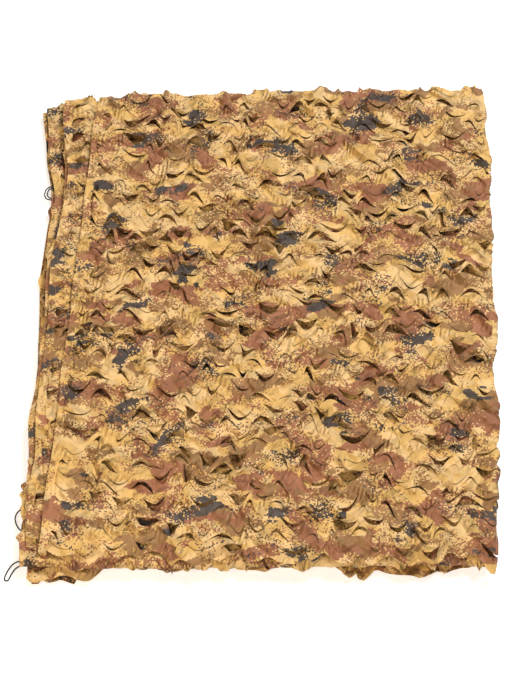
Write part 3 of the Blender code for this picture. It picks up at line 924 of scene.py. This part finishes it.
# Cloth print: square dots of five colours in blots, with loose dots along their borders
DOT = 0.0023
SAND = (225, 191, 136)
Blot = namedtuple("Blot", "colour wide long share looseness seed")
BLOTS = (
    Blot((218, 180, 114), 0.060, 0.045, 0.500, 0.05, 1.0),
    Blot((158, 122, 84), 0.072, 0.050, 0.550, 0.85, 14.0),
    Blot((160, 111, 84), 0.078, 0.054, 0.560, 0.80, 27.0),
    Blot((86, 79, 75), 0.080, 0.054, 0.615, 0.62, 41.0),
)
SCATTER_SPAN = 0.055     # from a patch with clean borders to one with scattered dots
LEAST_SCATTER = 0.3
MOST_SCATTER = 1.9


def flat_noise(tree, place, scale, detail=0.0):
    """An uneven pattern in the plane of the cloth, 0 to 1."""
    inputs = {"Vector": place, "Scale": scale, "Detail": detail}
    return add_node(tree, "ShaderNodeTexNoise", inputs, noise_dimensions="2D").outputs["Fac"]


def shared_effect(name, output, socket_type):
    """A shader group that reads the flat place, with that place and the group's end."""
    group = bpy.data.node_groups.new(name, "ShaderNodeTree")
    group.interface.new_socket("Flat place", in_out="INPUT", socket_type="NodeSocketVector")
    group.interface.new_socket(output, in_out="OUTPUT", socket_type=socket_type)
    place = add_node(group, "NodeGroupInput").outputs["Flat place"]
    return group, place, add_node(group, "NodeGroupOutput").inputs[output]


camo_print, place, printed_colour = shared_effect(
    "camouflage_print", "Colour", "NodeSocketColor")
dots = add_node(camo_print, "ShaderNodeVectorMath", {
    0: place, 1: (DOT, DOT, 1.0),
}, operation="SNAP").outputs["Vector"]
scatter = add_node(camo_print, "ShaderNodeMapRange", {
    "Value": flat_noise(camo_print, dots, 1 / SCATTER_SPAN),
    "From Min": 0.36, "From Max": 0.64, "To Min": LEAST_SCATTER, "To Max": MOST_SCATTER,
}).outputs["Result"]
colour = add_node(camo_print, "ShaderNodeRGB").outputs[0]
colour.default_value = linear(*SAND)
for blot in BLOTS:
    stretched = add_node(camo_print, "ShaderNodeMapping", {
        "Vector": dots,
        "Location": (blot.seed, 0.0, blot.seed),
        "Scale": (1 / blot.wide, 1 / blot.long, 1.0),
    })
    cloud = add_node(camo_print, "ShaderNodeTexNoise", {
        "Vector": stretched.outputs["Vector"], "Scale": 1.0, "Detail": 2.5, "Roughness": 0.55,
    }, noise_dimensions="3D")
    moved = add_node(camo_print, "ShaderNodeVectorMath", {
        0: dots, 1: (blot.seed, 3.1 * blot.seed, blot.seed),
    }, operation="ADD")
    speck = add_node(camo_print, "ShaderNodeTexWhiteNoise", {
        "Vector": moved.outputs["Vector"],
    }, noise_dimensions="3D")
    speck = maths(camo_print, "SUBTRACT", speck.outputs["Value"], 0.5)
    speck = maths(camo_print, "POWER", speck, 3.0)
    speck = maths(camo_print, "MULTIPLY", speck, blot.looseness)
    speck = maths(camo_print, "MULTIPLY", speck, scatter)
    edge = maths(camo_print, "ADD", cloud.outputs["Fac"], speck)
    inside = maths(camo_print, "GREATER_THAN", edge, blot.share)
    colour = mixed(camo_print, inside, colour, linear(*blot.colour))
camo_print.links.new(colour, printed_colour)

# Fold marks: sharp slanting creases that cross between the cuts, fans of small pleats in
# few places, crumples and the weave. least, most: where in a noise a mark starts and is full.
FoldMark = namedtuple("FoldMark", "turn pitch height bend least most seed")
FOLD_MARKS = (
    FoldMark(math.radians(47), 0.025, 0.0095, 0.8, 0.40, 0.60, 3.0),
    FoldMark(math.radians(-44), 0.029, 0.0095, 0.8, 0.40, 0.60, 8.0),
    FoldMark(math.radians(8), 0.0080, 0.0030, 1.6, 0.56, 0.66, 11.0),
)
BEND_SCALE = 13.0
DEPTH_SCALE = 21.0
FAINT_MARK = 0.1                       # shares of a mark's height
DEEP_MARK = 2.0
CRUMPLE_SCALE = 75.0
CRUMPLE_HEIGHT = 0.0012
WEAVE_SCALE = 1400.0
WEAVE_HEIGHT = 0.00012
cloth_grain, place, grain_height = shared_effect("cloth_grain", "Height", "NodeSocketFloat")
crumple = add_node(cloth_grain, "ShaderNodeTexVoronoi", {
    "Vector": place, "Scale": CRUMPLE_SCALE, "Randomness": 1.0,
}, voronoi_dimensions="2D", feature="F1")
total = maths(cloth_grain, "MULTIPLY", crumple.outputs["Distance"], CRUMPLE_HEIGHT)
for mark in FOLD_MARKS:
    bend = flat_noise(cloth_grain, place, BEND_SCALE + mark.seed / 5)
    turned = add_node(cloth_grain, "ShaderNodeVectorRotate", {
        "Vector": place, "Angle": mark.turn,
    }, rotation_type="Z_AXIS")
    along = add_node(cloth_grain, "ShaderNodeSeparateXYZ", {0: turned.outputs["Vector"]})
    steps = maths(cloth_grain, "MULTIPLY_ADD", along.outputs["X"], 1 / mark.pitch, mark.seed)
    bent = maths(cloth_grain, "MULTIPLY_ADD", bend, mark.bend, steps)
    folded = maths(cloth_grain, "PINGPONG", bent, 0.5)
    deep = add_node(cloth_grain, "ShaderNodeMapRange", {
        "Value": flat_noise(cloth_grain, place, DEPTH_SCALE + mark.seed),
        "From Min": mark.least, "From Max": mark.most,
        "To Min": FAINT_MARK * mark.height, "To Max": DEEP_MARK * mark.height,
    })
    total = maths(cloth_grain, "MULTIPLY_ADD", folded, deep.outputs["Result"], total)
weave = flat_noise(cloth_grain, place, WEAVE_SCALE, detail=1.0)
grain = maths(cloth_grain, "MULTIPLY_ADD", weave, WEAVE_HEIGHT, total)
cloth_grain.links.new(grain, grain_height)

SLIT_SHADE_BROWN = (60, 35, 16)               # painted shade: the dark line in a shut cut
SLIT_SHADE_SHARPNESS = 2.2
SLIT_SHADE_DARKEST = 0.95
net_cloth, shader = new_material("net_cloth", 0.50, 0.12)
tree = net_cloth.node_tree
place = add_node(tree, "ShaderNodeUVMap", uv_map="flat_cloth").outputs["UV"]
printed = add_node(tree, "ShaderNodeGroup", node_tree=camo_print)
tree.links.new(place, printed.inputs["Flat place"])
grained = add_node(tree, "ShaderNodeGroup", node_tree=cloth_grain)
tree.links.new(place, grained.inputs["Flat place"])
relief = add_node(tree, "ShaderNodeBump", {
    "Height": grained.outputs["Height"], "Strength": 0.9, "Distance": 1.0,
})
# Painted shade laid over the print along the cuts, darkest where a cut stays shut
slit_shade = add_node(tree, "ShaderNodeAttribute", attribute_name="painted_slit_shade").outputs["Fac"]
slit_shade = maths(tree, "POWER", slit_shade, SLIT_SHADE_SHARPNESS)
slit_shade = maths(tree, "MULTIPLY", slit_shade, SLIT_SHADE_DARKEST)
slit_shaded_print = mixed(tree, slit_shade, printed.outputs["Colour"], linear(*SLIT_SHADE_BROWN))
tree.links.new(slit_shaded_print, shader.inputs["Base Color"])
tree.links.new(relief.outputs["Normal"], shader.inputs["Normal"])

# Cut sizes and grids of the pieces; the top ply runs on round its fold to the leaf below
ClothPiece = namedtuple("ClothPiece", "panel u_start u_end columns rows_per_leaf")
TOP_END = PLY_WIDE + HAIRPIN + LEAF_WIDE
CLOTH_PIECES = {
    "net_top_ply": ClothPiece(0, 0.0, TOP_END, 276, 14),
    "net_second_ply": ClothPiece(0, TOP_END, CLOTH_WIDE, 200, 12),
    "net_second_panel": ClothPiece(1, 0.0, CLOTH_WIDE, 386, 8),
    "net_third_panel": ClothPiece(2, 0.0, CLOTH_WIDE, 386, 8),
    "net_lowest_panel": ClothPiece(3, 0.0, CLOTH_WIDE, 386, 8),
}
courses = [Course(panel) for panel in range(PANEL_COUNT)]
cloths = []
for name, piece in CLOTH_PIECES.items():
    cloth = LeafCloth(piece, courses)
    data = cloth.make_mesh(name)
    data.materials.append(net_cloth)
    sheet = add_object(name, data)
    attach(sheet, "root")
    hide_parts("net")
    cloths.append(cloth)


# ---------------------------------------------------------------- hem stitches
# Each hem is turned over once and sewn down with a line of pale brown lockstitch, 4 mm a
# stitch, just inside its inner edge.
SEAM_LINE = 0.0105       # from the edge of the cloth
STITCH_PITCH = 0.0042
STITCH_LONG = 0.0030
THREAD = 0.0009
THREAD_BROWN = (176, 138, 92)
SEAM_STEP = 3            # rows of the cloth's grid from one point of a seam to the next
SEAM_LINES = (SEAM_LINE, CLOTH_WIDE - SEAM_LINE)
thread_brown, shader = new_material("thread_brown", 0.7, 0.3)
shader.inputs["Base Color"].default_value = linear(*THREAD_BROWN)

sewing = bpy.data.node_groups.new("stitch_line", "GeometryNodeTree")
sewing.interface.new_socket("Seam", in_out="INPUT", socket_type="NodeSocketGeometry")
sewing.interface.new_socket("Stitches", in_out="OUTPUT", socket_type="NodeSocketGeometry")
pitch_socket = sewing.interface.new_socket("Pitch", in_out="INPUT", socket_type="NodeSocketFloat")
size_socket = sewing.interface.new_socket(
    "Stitch size", in_out="INPUT", socket_type="NodeSocketVector")
group_in = add_node(sewing, "NodeGroupInput")
group_out = add_node(sewing, "NodeGroupOutput")
seam_curve = add_node(sewing, "GeometryNodeMeshToCurve", {"Mesh": group_in.outputs["Seam"]})
spots = add_node(sewing, "GeometryNodeCurveToPoints", {
    "Curve": seam_curve.outputs["Curve"], "Length": group_in.outputs["Pitch"],
}, mode="LENGTH")
turn = add_node(sewing, "FunctionNodeAlignRotationToVector", {
    "Vector": spots.outputs["Tangent"],
}, axis="X")
bead = add_node(sewing, "GeometryNodeMeshIcoSphere", {"Radius": 0.5, "Subdivisions": 1})
laid = add_node(sewing, "GeometryNodeInstanceOnPoints", {
    "Points": spots.outputs["Points"], "Instance": bead.outputs["Mesh"],
    "Rotation": turn.outputs["Rotation"], "Scale": group_in.outputs["Stitch size"],
})
real = add_node(sewing, "GeometryNodeRealizeInstances", {"Geometry": laid.outputs["Instances"]})
coloured = add_node(sewing, "GeometryNodeSetMaterial", {
    "Geometry": real.outputs["Geometry"], "Material": thread_brown,
})
sewing.links.new(coloured.outputs["Geometry"], group_out.inputs["Stitches"])

seam_points, seam_edges = [], []
for cloth in cloths:
    for line in SEAM_LINES:
        if cloth.piece.u_start < line < cloth.piece.u_end:
            rows = np.arange(0.0, cloth.rows + 0.5, SEAM_STEP)
            route, _ = cloth.lay(rows, np.full_like(rows, line), np.zeros_like(rows))
            route[:, 2] = np.maximum(route[:, 2], GROUND_GAP) + THREAD / 4
            first = len(seam_points)
            seam_points += [tuple(point) for point in route]
            seam_edges += [(first + step, first + step + 1) for step in range(len(route) - 1)]
seams = bpy.data.meshes.new("seam_lines")
seams.from_pydata(seam_points, seam_edges, [])
stitches = add_object("hem_stitches", seams)
sewn = stitches.modifiers.new("stitches", "NODES")
sewn.node_group = sewing
sewn[pitch_socket.identifier] = STITCH_PITCH
sewn[size_socket.identifier] = (STITCH_LONG, THREAD, THREAD)
bpy.context.view_layer.update()
finished = stitches.evaluated_get(bpy.context.evaluated_depsgraph_get())
stitched = bpy.data.meshes.new_from_object(finished)
stitches.modifiers.clear()
stitches.data = stitched
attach(stitches, "root")
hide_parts("net")


# ---------------------------------------------------------------- floor and light
# A plain white floor, which glows a little, and large soft lights, so that the cloth's own
# leaves throw the only shadows that show.
FLOOR_HALF = 6.0
FLOOR_GREY = 0.70
FLOOR_GLOW = 0.55
STUDIO_TINT = (1.0, 0.89, 0.73)
STUDIO_STRENGTH = 0.24
floor_white, shader = new_material("floor_white", 0.9, 0.1)
shader.inputs["Base Color"].default_value = (FLOOR_GREY, FLOOR_GREY, FLOOR_GREY, 1.0)
shader.inputs["Emission Color"].default_value = (1.0, 1.0, 1.0, 1.0)
shader.inputs["Emission Strength"].default_value = FLOOR_GLOW
data = bpy.data.meshes.new("floor")
corners = [(x * FLOOR_HALF, y * FLOOR_HALF, 0) for x, y in ((-1, -1), (1, -1), (1, 1), (-1, 1))]
data.from_pydata(corners, [], [(0, 1, 2, 3)])
data.materials.append(floor_white)
floor = add_object("floor", data)

world = bpy.data.worlds.new("studio")
world.use_nodes = True
backdrop = world.node_tree.nodes["Background"]
backdrop.inputs["Color"].default_value = (*STUDIO_TINT, 1.0)
backdrop.inputs["Strength"].default_value = STUDIO_STRENGTH
bpy.context.scene.world = world
bpy.context.scene.view_settings.view_transform = "Standard"

SoftLight = namedtuple("SoftLight", "x y z size power colour")
SOFT_LIGHTS = {
    "key_light": SoftLight(1.7, 2.0, 4.3, 1.6, 232, (1.0, 0.98, 0.97)),
    "fill_light": SoftLight(-0.9, -1.8, 2.0, 2.0, 46, (1.0, 0.80, 0.55)),
}
for name, light in SOFT_LIGHTS.items():
    lamp = bpy.data.lights.new(name, "AREA")
    lamp.size = light.size
    lamp.energy = light.power
    lamp.color = light.colour
    hung = add_object(name, lamp)
    hung.location = (light.x, light.y, light.z)
    hung.rotation_euler = (-hung.location).to_track_quat("-Z", "Y").to_euler()
